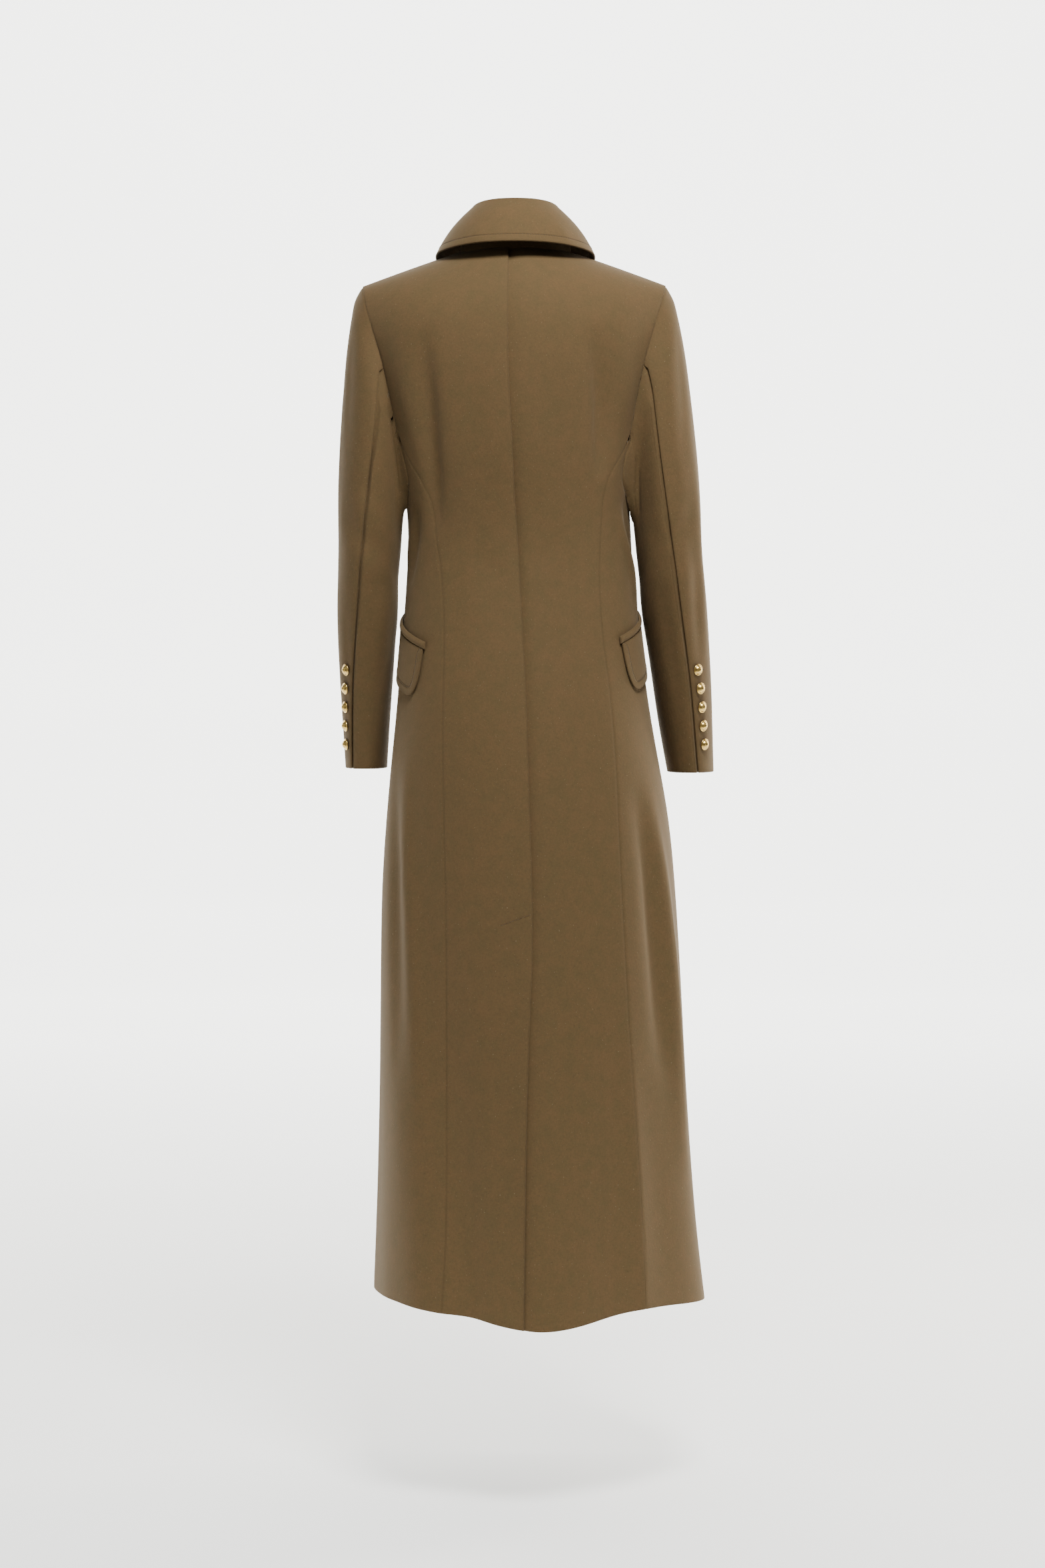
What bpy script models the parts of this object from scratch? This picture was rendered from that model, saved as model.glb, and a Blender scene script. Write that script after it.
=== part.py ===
"""Military greatcoat, hollow, in the form it has when worn.

Metres, +Z up. The front faces -Y and the wearer's left is +X. The origin is
the middle of the neck opening, at the height where the shoulders carry it.
"""
from functools import lru_cache
from math import acos, copysign, cos, exp, hypot, pi, radians, sin, sqrt

import bpy
from mathutils import Vector

# Cloth
WALL = 0.0026
SEAM_GAP = 0.0003
LAP_GAP = 0.0009
LIE_GAP = 0.0006

# Shoulders and neck
SHOULDER_TOP = 0.0251
SHOULDER_SLOPE = 0.377
SHOULDER_ROUND = 0.040
BACK_ROUND = 0.110
FRONT_ROUND = 0.230
NECK_HALF = 0.072
NECK_BACK = 0.064
NECK_FRONT = 0.084

# Levels that the panels share
UNDERARM_Z = -0.325
PRINCESS_Z = -0.248
FLAT_Z = -0.380
HEM_Z = -1.338
HEM_RAMP_Z = -1.100

# Half widths to the wearer's left and right, depths to back and front, and
# the roundness of the section, where 2 is an ellipse
BODY = (
    # z, left, right, back, front, roundness
    (0.020, 0.222, 0.218, 0.118, 0.105, 2.30),
    (-0.050, 0.214, 0.210, 0.122, 0.112, 2.30),
    (-0.097, 0.200, 0.194, 0.127, 0.121, 2.30),
    (-0.148, 0.183, 0.180, 0.130, 0.130, 2.30),
    (-0.205, 0.169, 0.165, 0.129, 0.137, 2.30),
    (-0.248, 0.157, 0.156, 0.124, 0.138, 2.30),
    (-0.284, 0.149, 0.151, 0.118, 0.136, 2.30),
    (-0.327, 0.1400, 0.1465, 0.110, 0.130, 2.25),
    (-0.377, 0.1370, 0.1485, 0.104, 0.124, 2.20),
    (-0.428, 0.1395, 0.1520, 0.108, 0.123, 2.20),
    (-0.490, 0.1440, 0.1585, 0.121, 0.129, 2.20),
    (-0.550, 0.1490, 0.1660, 0.136, 0.139, 2.20),
    (-0.590, 0.1520, 0.1715, 0.145, 0.146, 2.20),
    (-0.665, 0.1600, 0.1850, 0.157, 0.158, 2.15),
    (-0.740, 0.1665, 0.1990, 0.167, 0.168, 2.10),
    (-0.808, 0.1713, 0.2045, 0.175, 0.176, 2.10),
    (-0.978, 0.1747, 0.2147, 0.192, 0.192, 2.05),
    (-1.150, 0.1780, 0.2241, 0.209, 0.206, 2.00),
    (-1.276, 0.1815, 0.2343, 0.222, 0.216, 2.00),
    (-1.340, 0.1840, 0.2430, 0.230, 0.222, 2.00),
)

# Distances of the back seams from the middle plane. The edge is the armhole
# down to the princess level, and the princess seam below it
BACK_SEAMS = (
    # z, centre seam, left edge, right edge
    (-0.0505, 0.0080, 0.1955, 0.1925),
    (-0.097, 0.0082, 0.1850, 0.1790),
    (-0.148, 0.0082, 0.1685, 0.1640),
    (-0.205, 0.0060, 0.1570, 0.1520),
    (-0.248, 0.0030, 0.1475, 0.1460),
    (-0.275, 0.0018, 0.1345, 0.1310),
    (-0.295, 0.0010, 0.1215, 0.1185),
    (-0.320, 0.0000, 0.1100, 0.1110),
    (-0.350, -0.0020, 0.1030, 0.1090),
    (-0.380, -0.0040, 0.0975, 0.1070),
    (-0.430, -0.0070, 0.0910, 0.1060),
    (-0.500, -0.0105, 0.0880, 0.1105),
    (-0.560, -0.0140, 0.0893, 0.1185),
    (-0.640, -0.0170, 0.0893, 0.1255),
    (-0.740, -0.0200, 0.0870, 0.1300),
    (-0.840, -0.0235, 0.0853, 0.1345),
    (-0.900, -0.0230, 0.0853, 0.1380),
    (-1.000, -0.0180, 0.0857, 0.1440),
    (-1.120, -0.0150, 0.0850, 0.1520),
    (-1.250, -0.0135, 0.0841, 0.1605),
    (-1.340, -0.0126, 0.0870, 0.1635),
)

FRONT_SEAMS = (
    # z, left edge, right edge, overlap past the middle
    (-0.0505, 0.1955, 0.1925, 0.040),
    (-0.097, 0.1800, 0.1760, 0.052),
    (-0.148, 0.1620, 0.1600, 0.066),
    (-0.205, 0.1520, 0.1500, 0.077),
    (-0.248, 0.1475, 0.1460, 0.080),
    (-0.275, 0.1400, 0.1380, 0.080),
    (-0.320, 0.1240, 0.1260, 0.080),
    (-0.380, 0.1100, 0.1180, 0.080),
    (-0.500, 0.1050, 0.1160, 0.080),
    (-0.640, 0.1100, 0.1240, 0.081),
    (-0.840, 0.1150, 0.1330, 0.083),
    (-1.100, 0.1200, 0.1420, 0.085),
    (-1.340, 0.1250, 0.1500, 0.087),
)

# Long soft folds of the skirt. Angles run from the wearer's left over the
# centre back, which is 90 degrees. A negative rise is a trough
FOLDS = (
    # top angle, hem angle, top z, spread in degrees, rise
    (88, 93, -0.80, 9, 0.008),
    (26, 49, -0.62, 10, 0.010),
    (57, 66, -0.72, 7, -0.011),
    (122, 118, -0.85, 8, -0.009),
    (159, 158, -0.74, 8, 0.010),
    (141, 139, -0.90, 7, -0.006),
    (5, 12, -0.80, 9, -0.007),
    (338, 334, -0.66, 9, 0.010),
    (311, 304, -0.85, 8, -0.009),
    (232, 238, -0.76, 8, -0.009),
    (208, 211, -0.62, 9, 0.009),
    (183, 184, -0.90, 8, -0.007),
)

HEM_RISE = (
    # angle, height above the hem level
    (0, 0.008),
    (35, 0.017),
    (62, 0.013),
    (92, 0.000),
    (125, 0.016),
    (155, 0.010),
    (180, 0.002),
    (270, 0.004),
    (360, 0.008),
)

# Sleeves: distances of the outer and inner outline from the middle plane
SLEEVE_LEFT = (
    # z, outer, inner, middle y, half depth
    (-0.050, 0.1975, 0.130, 0.000, 0.050),
    (-0.0585, 0.2036, 0.131, 0.000, 0.052),
    (-0.084, 0.2085, 0.133, 0.000, 0.058),
    (-0.126, 0.2150, 0.135, 0.000, 0.064),
    (-0.169, 0.2190, 0.137, 0.001, 0.067),
    (-0.250, 0.2230, 0.139, 0.002, 0.068),
    (-0.325, 0.2260, 0.1425, 0.000, 0.067),
    (-0.380, 0.2285, 0.1460, -0.004, 0.065),
    (-0.430, 0.2292, 0.1490, -0.011, 0.063),
    (-0.480, 0.2292, 0.1515, -0.021, 0.061),
    (-0.530, 0.2280, 0.1560, -0.032, 0.059),
    (-0.600, 0.2242, 0.1620, -0.048, 0.056),
    (-0.680, 0.2205, 0.1675, -0.065, 0.053),
)
SLEEVE_RIGHT = (
    # z, outer, inner, middle y, half depth
    (-0.050, 0.1945, 0.130, 0.000, 0.050),
    (-0.0585, 0.2002, 0.131, 0.000, 0.052),
    (-0.084, 0.2066, 0.133, 0.000, 0.058),
    (-0.126, 0.2156, 0.136, 0.000, 0.064),
    (-0.169, 0.2215, 0.139, 0.001, 0.067),
    (-0.250, 0.2309, 0.143, 0.002, 0.068),
    (-0.325, 0.2377, 0.1490, 0.000, 0.067),
    (-0.394, 0.2424, 0.1545, -0.005, 0.065),
    (-0.445, 0.2450, 0.1590, -0.013, 0.063),
    (-0.488, 0.2480, 0.1645, -0.022, 0.061),
    (-0.552, 0.2522, 0.1755, -0.034, 0.059),
    (-0.600, 0.2543, 0.1825, -0.046, 0.056),
    (-0.680, 0.2570, 0.1975, -0.062, 0.053),
)
CUFF_Z = {"left": -0.667, "right": -0.672}

# Back sleeve seam: how far across the sleeve it lies, from inner edge to outer
SLEEVE_SEAM = (
    # z, left, right
    (-0.200, 0.42, 0.40),
    (-0.250, 0.46, 0.42),
    (-0.327, 0.54, 0.46),
    (-0.394, 0.59, 0.52),
    (-0.460, 0.63, 0.57),
    (-0.555, 0.74, 0.62),
    (-0.680, 0.81, 0.63),
)
FRONT_SLEEVE_SEAM = radians(262)
SEAM_SETTLE = 0.110
BACK_SEAM_ROW = 5
FRONT_SEAM_ROW = 6
SLEEVE_ROWS = (0, 0.010, 0.028, 0.055, 0.095, 0.15, 0.22, 0.30, 0.38, 0.46, 0.54, 0.63, 0.72, 0.81, 0.91, 1)
VENT_TOP_Z = -0.484
VENT_LAP = 0.42
SEAM_LAP = 0.22
SEAM_PART = 0.030
DIP_PLACE = 0.30

# Drop over which the sleeve leaves the armhole's line, at its top and under it
HEAD_EASE_TOP = 0.014
HEAD_EASE_SIDE = 0.050

# Elbow and forearm creases of the sleeves
CREASES = (
    # z at the back, slope round the sleeve, spread in z, rise
    (-0.365, 0.020, 0.016, -0.0030),
    (-0.405, -0.015, 0.014, -0.0035),
    (-0.300, 0.030, 0.018, -0.0022),
    (-0.520, 0.010, 0.018, -0.0016),
)

# Centre back vent
BACK_VENT_TOP_Z = -0.835
BACK_SEAM_LAP = 0.012
BACK_VENT_LAP = 0.038
VENT_RAMP = 0.040

# Rows of the body panels: shares of the way down to the princess level, then
# heights
TOP_SHARES = (0, 0.030, 0.090, 0.18, 0.32, 0.50, 0.72, 1)
LEVELS = (-0.275, -0.297, -0.322, -0.350, -0.380, -0.420, -0.460, -0.505, -0.550, -0.600, -0.660,
          -0.730, -0.810, -0.895, -0.985, -1.075, -1.165, -1.255, HEM_Z)
BACK_STATIONS = (0, 0.055, 0.11, 0.20, 0.345, 0.50, 0.66, 0.83, 1)
SIDE_STEPS = 10
FRONT_STATIONS = (0, 0.12, 0.28, 0.46, 0.64, 0.82)
OVERLAP_STATIONS = (1.14, 1.27, 1.42, 1.58, 1.73, 1.86, 2.0)
# Where each front passes the button line, the right one a little sooner to dip under
FRONT_DIP_START = {"left": 1.0, "right": 0.985}
DIP_WIDTH = 0.0005
BACK_PANEL_WIDTH = 0.110
DIP_END = 0.085
LAP_MIDDLE = 0.58

# Collar, by angle from the centre back
COLLAR = (
    # degrees, fold radius, fold z, edge radius, edge z
    (0, 0.0490, 0.052, 0.100, -0.003),
    (30, 0.0500, 0.0515, 0.101, -0.004),
    (60, 0.0515, 0.049, 0.102, -0.008),
    (90, 0.0530, 0.043, 0.103, -0.012),
    (115, 0.0570, 0.032, 0.106, -0.026),
    (140, 0.0650, 0.014, 0.110, -0.052),
    (160, 0.0720, -0.004, 0.117, -0.080),
    (172, 0.0760, -0.014, 0.1215, -0.100),
)
COLLAR_END = 172
COLLAR_STEPS = 30
COLLAR_ROLL = 0.0045
STAND_RISE = 0.0012
STAND_BOW = 0.004
ROLL_STEPS = 3
ROLL_START = radians(166)
ROLL_END = radians(14)
FALL_BOW = (0.0036, 0.0030)
STAND_ROWS = (0, 0.25, 0.5, 0.75, 1)
FALL_ROWS = (0, 0.12, 0.35, 0.6, 0.82, 1)

# Pockets
FLAP_LENGTH = 0.165
FLAP_HEIGHT = 0.068
FLAP_SLOPE = 0.33
FLAP_CORNER = 0.023
FLAP_LEAN = 0.008
WELT_HEIGHT = 0.0095
WELT_THICK = 0.0042
WELT_OVERRUN = 0.003
FLAP_STEPS = 12
FLAP_ROWS = (0, 0.17, 0.33, 0.5, 0.67, 0.83, 0.94, 1)
WELT_STEPS = 14
WELT_SWELL = (0.55, 0.9, 1.0, 0.9, 0.55)
SPOT_STEP = 0.02
POCKETS = {
    # rear end on the back, from the middle plane, and its height
    "left": (0.1135, -0.5140),
    "right": (0.1330, -0.5070),
}

# Buttons
CUFF_BUTTON_R = 0.0074
CUFF_BUTTON_HIGH = 0.0058
CUFF_BUTTON_Z = (-0.545, -0.568, -0.591, -0.614, -0.637)
CUFF_BUTTON_INSET = 0.0130
FRONT_BUTTON_R = 0.0110
FRONT_BUTTON_HIGH = 0.0080
FRONT_BUTTON_Z = (-0.150, -0.260, -0.370, -0.480)
FRONT_BUTTON_X = 0.0576
BUTTON_SIDES = 10
# Small steps that find how the cloth lies under a button
PLACE_STEP = 0.02
ANGLE_STEP = 0.01
HEIGHT_STEP = 0.003

WOOL = ((0.135, 0.085, 0.040, 1), 0.92, 0.0)
BRASS = ((0.78, 0.60, 0.30, 1), 0.30, 1.0)
SIGN = {"left": 1, "right": -1}


def clear_scene():
    for thing in list(bpy.data.objects):
        bpy.data.objects.remove(thing, do_unlink=True)


def finish(name, look):
    """A plain surface material for one piece."""
    colour, rough, metal = look
    material = bpy.data.materials.new(name)
    material.use_nodes = True
    surface = next(n for n in material.node_tree.nodes if n.type == "BSDF_PRINCIPLED")
    surface.inputs["Base Color"].default_value = colour
    surface.inputs["Roughness"].default_value = rough
    surface.inputs["Metallic"].default_value = metal
    return material


def column(table, index, key):
    """Smooth value of one column of a table whose first column is the key."""
    last = len(table) - 1
    sign = 1 if table[last][0] > table[0][0] else -1
    if sign * key <= sign * table[0][0]:
        return table[0][index]
    if sign * key >= sign * table[last][0]:
        return table[last][index]
    i = next(n for n in range(last) if sign * key <= sign * table[n + 1][0])

    def slope(n):
        a, b = max(n - 1, 0), min(n + 1, last)
        return (table[b][index] - table[a][index]) / (table[b][0] - table[a][0])

    width = table[i + 1][0] - table[i][0]
    t = (key - table[i][0]) / width
    start = table[i][index] * (1 + 2 * t) * (1 - t) ** 2 + slope(i) * width * t * (1 - t) ** 2
    end = table[i + 1][index] * t * t * (3 - 2 * t) - slope(i + 1) * width * t * t * (1 - t)
    return start + end


def smooth(value):
    t = min(max(value, 0), 1)
    return t * t * (3 - 2 * t)


def blend(a, b, t):
    return a + (b - a) * t


def shoulder_z(x):
    return SHOULDER_TOP - SHOULDER_SLOPE * hypot(x, SHOULDER_ROUND)


def fold_push(angle, z):
    """How far the long folds move the skirt outwards."""
    turn = angle * 180 / pi % 360
    push = 0
    for top_angle, hem_angle, top_z, spread, rise in FOLDS:
        down = (top_z - z) / (top_z - HEM_Z)
        if down <= 0:
            continue
        middle = blend(top_angle, hem_angle, down)
        away = (turn - middle + 180) % 360 - 180
        push += rise * smooth(down * 1.25) * exp(-((away / spread) ** 2))
    return push


def section(z):
    """Middle, half width, back and front depth and power of the body at one height."""
    left, right, back, front, power = (column(BODY, i, z) for i in range(1, 6))
    return (left - right) / 2, (left + right) / 2, back, front, 2 / power


def body(angle, z):
    """A point of the body's outer surface."""
    middle, half, back, front, power = section(z)
    c, s = cos(angle), sin(angle)
    x = middle + half * copysign(abs(c) ** power, c)
    depth, reach = (back, BACK_ROUND) if s > 0 else (front, FRONT_ROUND)
    share = min(max((shoulder_z(x) - z) / reach, 0), 1)
    y = depth * abs(s) ** power * sqrt(1 - (1 - share) ** 2)
    y = copysign(max(y, SEAM_GAP / 2), s)
    push = fold_push(angle, z)
    rise = column(HEM_RISE, 1, angle * 180 / pi % 360)
    lift = rise * smooth((HEM_RAMP_Z - z) / (HEM_RAMP_Z - HEM_Z))
    return Vector((x + push * c, y + push * s, z + lift))


def angle_at(x, z, face):
    """The angle round the body where its surface has this x, on the back or the front."""
    middle, half, _, _, power = section(z)
    share = min(max((x - middle) / half, -1), 1)
    angle = acos(copysign(abs(share) ** (1 / power), share))
    return angle if face > 0 else -angle


@lru_cache(maxsize=None)
def top_z(x, face):
    """Height of the shoulder line, or of the neck edge inside it."""
    if abs(x) >= NECK_HALF:
        return shoulder_z(x)
    wanted = (NECK_BACK if face > 0 else NECK_FRONT) * sqrt(1 - (x / NECK_HALF) ** 2)
    low, high = -0.20, shoulder_z(x)
    for _ in range(30):
        z = (low + high) / 2
        if abs(body(angle_at(x, z, face), z).y) > wanted:
            low = z
        else:
            high = z
    return high


def row_z(edge_z, row):
    """Height on a row, below an edge of this height. Rows run on between whole numbers."""
    last_share = len(TOP_SHARES) - 1
    if row <= last_share:
        i = min(int(row), last_share - 1)
        share = blend(TOP_SHARES[i], TOP_SHARES[i + 1], row - i)
        return blend(edge_z, PRINCESS_Z, share)
    heights = (PRINCESS_Z,) + LEVELS
    i = min(int(row) - last_share, len(heights) - 2)
    return blend(heights[i], heights[i + 1], row - last_share - i)


ROWS = len(TOP_SHARES) + len(LEVELS)
FIRST_LEVEL = len(TOP_SHARES) - 1
TIP = {"left": BACK_SEAMS[0][2], "right": BACK_SEAMS[0][3]}


def edge_x(table, side, z):
    return SIGN[side] * column(table, 2 if side == "left" else 3, z)


def back_point(side, station, row):
    """Back panel: station 0 is the centre seam and 1 the armhole or princess edge."""
    outer_z = row_z(shoulder_z(TIP[side]), row)
    outer = edge_x(BACK_SEAMS, side, outer_z) - SIGN[side] * SEAM_GAP / 2
    inner_top = column(BACK_SEAMS, 1, -0.02)
    inner_z = row_z(top_z(round(inner_top, 8), 1), row)
    inner = column(BACK_SEAMS, 1, inner_z) + SIGN[side] * SEAM_GAP / 2
    x = blend(inner, outer, station)
    top = blend(inner_top, SIGN[side] * TIP[side], station)
    z = row_z(top_z(round(top, 8), 1), row)
    return body(angle_at(x, z, 1), z)


def front_point(side, station, row):
    """Front panel: 0 is the armhole or princess edge, 1 to 2 crosses the overlap."""
    outer_z = row_z(shoulder_z(TIP[side]), row)
    outer = column(FRONT_SEAMS, 1 if side == "left" else 2, outer_z) - SEAM_GAP / 2
    lap_top = FRONT_SEAMS[0][3]
    lap_z = row_z(top_z(round(lap_top, 8), -1), row)
    lap = column(FRONT_SEAMS, 3, lap_z)
    if station <= 1:
        x = SIGN[side] * blend(outer, lap, station)
        top = SIGN[side] * blend(TIP[side], lap_top, station)
    else:
        x = SIGN[side] * lap * (3 - 2 * station)
        top = SIGN[side] * lap_top * (3 - 2 * station)
    z = row_z(top_z(round(abs(top), 8), -1), row)
    return body(angle_at(x, z, -1), z)


def side_z(station, row):
    """Height on a side panel, whose top edge is the bottom of the armhole."""
    level = row_z(PRINCESS_Z, row)
    if level <= FLAT_Z:
        return level
    edge = blend(UNDERARM_Z, PRINCESS_Z, abs(2 * station - 1) ** 2.2)
    return blend(edge, FLAT_Z, (PRINCESS_Z - level) / (PRINCESS_Z - FLAT_Z))


def side_point(side, station, row):
    """Side panel: station 0 is the back princess seam and 1 the front one."""
    z = side_z(station, row)
    sign = SIGN[side]
    back = angle_at(edge_x(BACK_SEAMS, side, z), z, 1)
    front = angle_at(sign * column(FRONT_SEAMS, 1 if side == "left" else 2, z), z, -1)
    if side == "right":
        front += 2 * pi
    inset = SEAM_GAP / 2 / hypot(*body(back, z).xy)
    return body(blend(back - sign * inset, front + sign * inset, station), z)


def surface(mapping, stations, rows, centre):
    """Points and outward normals of a mapped surface, row by row."""
    step, fall = 0.004, 0.03
    points, normals = [], []
    for row in rows:
        points.append([mapping(s, row) for s in stations])
        up, down = max(row - fall, rows[0]), min(row + fall, rows[-1])
        line = []
        for s in stations:
            across = mapping(s + step, row) - mapping(s - step, row)
            along = mapping(s, down) - mapping(s, up)
            line.append(across.cross(along).normalized())
        normals.append(line)
    sample = points[-1][len(stations) // 2]
    if normals[-1][len(stations) // 2].dot(sample - centre(sample)) < 0:
        normals = [[-n for n in line] for line in normals]
    return points, normals


def closed_mesh(name, verts, faces, look, round_angle=50):
    mesh = bpy.data.meshes.new(name)
    mesh.from_pydata([tuple(v) for v in verts], [], faces)
    volume = 0
    for face in mesh.polygons:
        ring = [mesh.vertices[i].co for i in face.vertices]
        for a, b in zip(ring[1:], ring[2:]):
            volume += ring[0].dot(a.cross(b))
    if volume < 0:
        mesh.flip_normals()
    mesh.materials.append(finish(name, look))
    mesh.shade_smooth()
    mesh.set_sharp_from_angle(angle=radians(round_angle))
    bpy.context.scene.collection.objects.link(bpy.data.objects.new(name, mesh))


def solid_between(name, high, low):
    """A closed solid between two grids of the same size."""
    rows, cols = len(high), len(high[0])
    verts = [p for line in high for p in line] + [p for line in low for p in line]
    under = rows * cols
    faces = []
    for r in range(rows - 1):
        for c in range(cols - 1):
            a = r * cols + c
            faces += [(a, a + 1, a + cols + 1), (a, a + cols + 1, a + cols)]
            b = under + a
            faces += [(b, b + cols + 1, b + 1), (b, b + cols, b + cols + 1)]
    rim = list(range(cols)) + [r * cols + cols - 1 for r in range(1, rows)]
    rim += [(rows - 1) * cols + c for c in range(cols - 2, -1, -1)]
    rim += [r * cols for r in range(rows - 2, 0, -1)]
    for a, b in zip(rim, rim[1:] + rim[:1]):
        faces.append((a, under + a, under + b, b))
    closed_mesh(name, verts, faces, WOOL)


def wall(name, points, normals, lift=None):
    """A closed wall: its outer side is the lifted grid and its inner side lies below."""
    raised = lift or (lambda row, col: 0)
    outer, inner = [], []
    for r, (line, turned) in enumerate(zip(points, normals)):
        outer.append([p + n * raised(r, c) for c, (p, n) in enumerate(zip(line, turned))])
        inner.append([p + n * (raised(r, c) - WALL) for c, (p, n) in enumerate(zip(line, turned))])
    solid_between(name, outer, inner)


def body_centre(point):
    return Vector((0, 0, point.z))


def vent_lap(row):
    """How far the right back runs on under the left one."""
    z = row_z(0, row)
    return blend(BACK_SEAM_LAP, BACK_VENT_LAP, smooth((BACK_VENT_TOP_Z + VENT_RAMP / 2 - z) / VENT_RAMP))


def make_back(side):
    rows = list(range(ROWS))
    stations = list(BACK_STATIONS)
    points, normals = surface(lambda s, r: back_point(side, s, r), stations, rows, body_centre)
    if side == "left":
        wall("back_left", points, normals)
        return points, normals

    over = [DIP_WIDTH / BACK_PANEL_WIDTH, DIP_END] + stations[3:]
    grid, directions = surface(lambda s, r: back_point(side, s, r), over, rows, body_centre)
    for row in rows:
        reach = vent_lap(row) / BACK_PANEL_WIDTH
        under = [reach, reach * LAP_MIDDLE]
        lap, turned = surface(lambda s, r: back_point("left", s, r), under, rows, body_centre)
        grid[row] = lap[row] + grid[row]
        directions[row] = turned[row] + directions[row]
    sunk = -(WALL + LAP_GAP)
    wall("back_right", grid, directions, lift=lambda r, c: sunk if c < 3 else 0)
    return points, normals


def make_front(side):
    rows = list(range(ROWS))
    stations = list(FRONT_STATIONS)
    stations += [FRONT_DIP_START[side]] + list(OVERLAP_STATIONS)
    first_sunk = len(FRONT_STATIONS)
    points, normals = surface(lambda s, r: front_point(side, s, r), stations, rows, body_centre)
    sunk = -(WALL + LAP_GAP)
    if side == "left":
        wall("front_left", points, normals)
    else:
        wall("front_right", points, normals, lift=lambda r, c: sunk if c >= first_sunk else 0)
    return points, normals


def make_side(side):
    rows = list(range(FIRST_LEVEL, ROWS))
    stations = [i / SIDE_STEPS for i in range(SIDE_STEPS + 1)]
    points, normals = surface(lambda s, r: side_point(side, s, r), stations, rows, body_centre)
    wall("side_" + side, points, normals)
    return points, normals


def armhole(side, back, panel, front):
    """The armhole, from the shoulder tip down the back, under the arm and up the front.

    Each entry is a point just off the panels' edge, the way out from the panels
    along their surface there and the angle round the sleeve. The sleeve's two
    seams start at their own angles, so that they run straight down from the armhole.
    """
    last = FIRST_LEVEL
    loop = [(back[0][r][-1], back[1][r][-1]) for r in range(last + 1)]
    loop += list(zip(panel[0][0], panel[1][0]))[1:-1]
    loop += [(front[0][r][0], front[1][r][0]) for r in range(last, 0, -1)]
    count = len(loop)
    bottom = last + SIDE_STEPS // 2
    spans = [(loop[(i + 1) % count][0] - loop[i][0]).length for i in range(count)]
    gone = [sum(spans[:i]) for i in range(count + 1)]
    knots = [(0, 0), (BACK_SEAM_ROW, seam_angle(side, loop[BACK_SEAM_ROW][0].z)), (bottom, pi),
             (count - FRONT_SEAM_ROW, FRONT_SLEEVE_SEAM), (count, 2 * pi)]
    entries = []
    for i, (point, normal) in enumerate(loop):
        (first, low), (last_knot, high) = next(pair for pair in zip(knots, knots[1:]) if i <= pair[1][0])
        angle = blend(low, high, (gone[i] - gone[first]) / (gone[last_knot] - gone[first]))
        along = loop[(i + 1) % count][0] - loop[i - 1][0]
        away = along.cross(normal).normalized() * SIGN[side]
        facing = Vector((SIGN[side] * cos(angle), sin(angle), 0))
        clear = LIE_GAP * (1 - facing.dot(normal))
        entries.append((point + away * SEAM_GAP * 1.5 + normal * clear, away, angle))
    return entries


def sleeve_ring(side, angle, z):
    """A point of the plain sleeve tube. Angle 0 is outermost and 90 degrees is its back."""
    table = SLEEVE_LEFT if side == "left" else SLEEVE_RIGHT
    outer, inner, y, depth = (column(table, i, z) for i in range(1, 5))
    x = (outer + inner) / 2 + (outer - inner) / 2 * cos(angle)
    push = 0
    for back_z, slope, spread, rise in CREASES:
        push += rise * exp(-(((z - back_z + slope * cos(angle)) / spread) ** 2)) * (0.6 + 0.4 * sin(angle))
    return Vector((SIGN[side] * (x + push * cos(angle)), y + (depth + push) * sin(angle), z))


def seam_angle(side, z):
    """Angle of the back sleeve seam at one height."""
    across = column(SLEEVE_SEAM, 1 if side == "left" else 2, z)
    return acos(2 * across - 1)


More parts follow.
